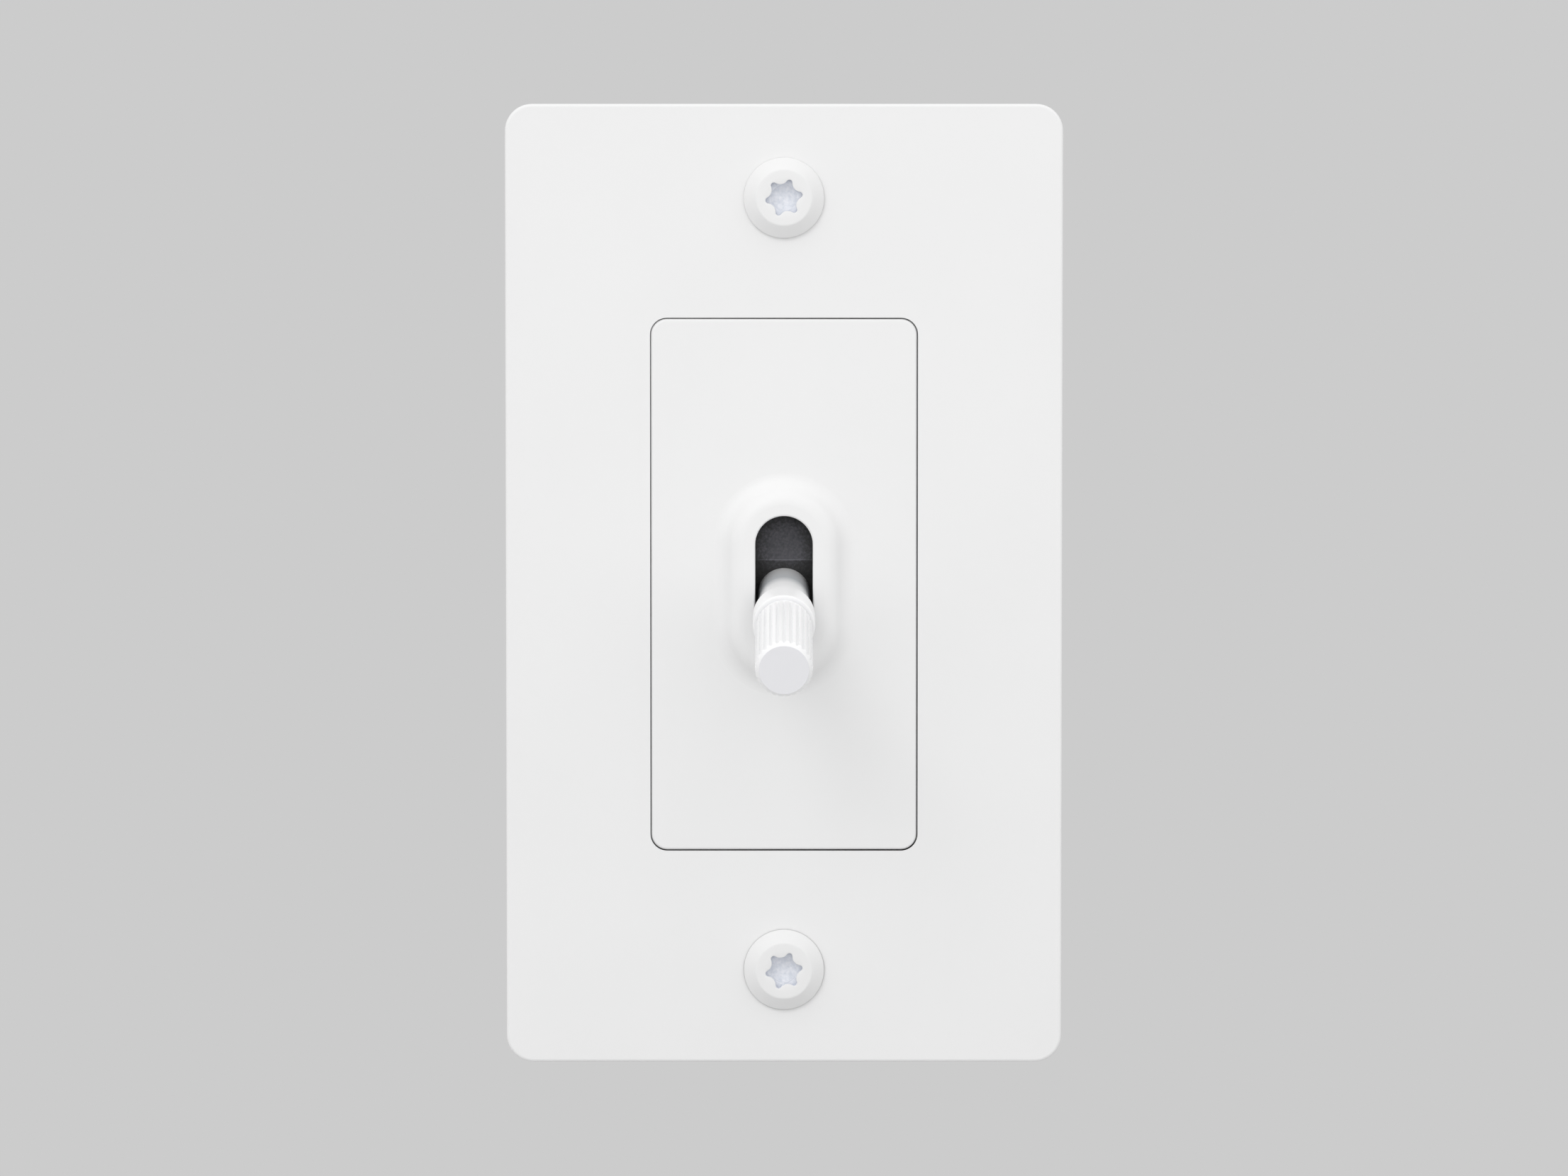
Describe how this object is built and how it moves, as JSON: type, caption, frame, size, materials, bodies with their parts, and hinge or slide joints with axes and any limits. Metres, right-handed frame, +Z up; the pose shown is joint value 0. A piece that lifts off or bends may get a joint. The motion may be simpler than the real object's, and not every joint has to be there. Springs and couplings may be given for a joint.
{
  "type": "toggle wall switch",
  "caption": "Single-gang wall switch: white coated metal plate with a flush insert, a round-ended slot in a raised mound, and a round toggle lever with a fluted grip.",
  "frame": {"origin": "middle of the wall plate on the wall's surface", "axes": "+Z up, +Y into the wall, +X to the right seen from the room"},
  "size_m": [0.0698, 0.0617, 0.1204],
  "materials": {
    "white_coated_metal": "matt white powder coat on metal",
    "white_coated_screws": "matt white coated steel",
    "white_lever": "satin white coated brass",
    "black_rocker": "fine spark-eroded moulding texture",
    "black_moulding": "moulded thermoset, fine texture",
    "zinc_steel": "zinc plated",
    "zinc_screws": "zinc plated",
    "bright_steel": "bright steel",
    "spring_steel": "drawn wire",
    "brass": "stamped brass strip",
    "brass_screws": "brass plated",
    "silver": "silver alloy rivet",
    "green_screw": "green dyed plating",
    "fibre": "pressed fibre board",
    "nylon": "natural nylon",
    "rubber": "soft rubber"
  },
  "bodies": {
    "root": {"wall_plate": "white_coated_metal", "face_insert": "white_coated_metal", "coin_screws": "white_coated_screws", "mounting_strap": "zinc_steel", "switch_housing": "black_moulding", "rear_cover": "black_moulding", "pivot_pin": "bright_steel", "contact_pivot_pin": "bright_steel", "line_terminal": "brass", "load_terminal": "brass", "fixed_contact": "silver", "box_screws": "bright_steel", "screw_retainers": "fibre", "insert_screws": "zinc_screws", "housing_screws": "zinc_screws", "cover_screws": "zinc_screws", "travel_bumpers": "rubber"},
    "lever": {"rocker": "black_rocker", "lever_spindle": "white_lever", "knurled_grip": "white_lever", "plunger_spring": "spring_steel"},
    "plunger": {"plunger": "nylon"},
    "contact_arm": {"contact_arm": "brass", "moving_contact": "silver"},
    "line_clamp": {"line_clamp_plate": "zinc_steel"},
    "line_screw": {"line_terminal_screw": "brass_screws"},
    "load_clamp": {"load_clamp_plate": "zinc_steel"},
    "load_screw": {"load_terminal_screw": "brass_screws"},
    "ground_clamp": {"ground_clamp_plate": "zinc_steel"},
    "ground_screw": {"ground_screw": "green_screw"}
  },
  "joints": [
    {"name": "toggle_swing", "type": "hinge", "parent": "root", "child": "lever", "pos_m": [0, 0.0046, 0], "axis": [-1, 0, 0], "range_deg": [0, 25]},
    {"name": "plunger_travel", "type": "slide", "parent": "lever", "child": "plunger", "axis": [0, 0.9763, 0.2164], "range_m": [0, 0.00065], "stiffness_N_per_m": 60, "springref_m": 0.004, "deforming": ["plunger_spring"]},
    {"name": "contact_swing", "type": "hinge", "parent": "root", "child": "contact_arm", "pos_m": [0, 0.0204, 0], "axis": [1, 0, 0], "range_deg": [0, 12]},
    {"name": "line_clamp_travel", "type": "slide", "parent": "root", "child": "line_clamp", "axis": [-1, 0, 0], "range_m": [0, 0.002]},
    {"name": "line_screw_turn", "type": "hinge", "parent": "line_clamp", "child": "line_screw", "pos_m": [0.0116, 0.014, 0.013], "axis": [-1, 0, 0], "range_deg": [0, 910]},
    {"name": "load_clamp_travel", "type": "slide", "parent": "root", "child": "load_clamp", "axis": [-1, 0, 0], "range_m": [0, 0.002]},
    {"name": "load_screw_turn", "type": "hinge", "parent": "load_clamp", "child": "load_screw", "pos_m": [0.0116, 0.014, -0.013], "axis": [-1, 0, 0], "range_deg": [0, 910]},
    {"name": "ground_clamp_travel", "type": "slide", "parent": "root", "child": "ground_clamp", "axis": [1, 0, 0], "range_m": [0, 0.002]},
    {"name": "ground_screw_turn", "type": "hinge", "parent": "ground_clamp", "child": "ground_screw", "pos_m": [-0.0148, 0.006, -0.0295], "axis": [1, 0, 0], "range_deg": [0, 910]}
  ],
  "couplings": [
    {"joint": "contact_swing", "follows": "toggle_swing", "ratio": 0.48},
    {"joint": "line_screw_turn", "follows": "line_clamp_travel", "rad_per_m": 7915.8},
    {"joint": "load_screw_turn", "follows": "load_clamp_travel", "rad_per_m": 7915.8},
    {"joint": "ground_screw_turn", "follows": "ground_clamp_travel", "rad_per_m": 7915.8}
  ]
}
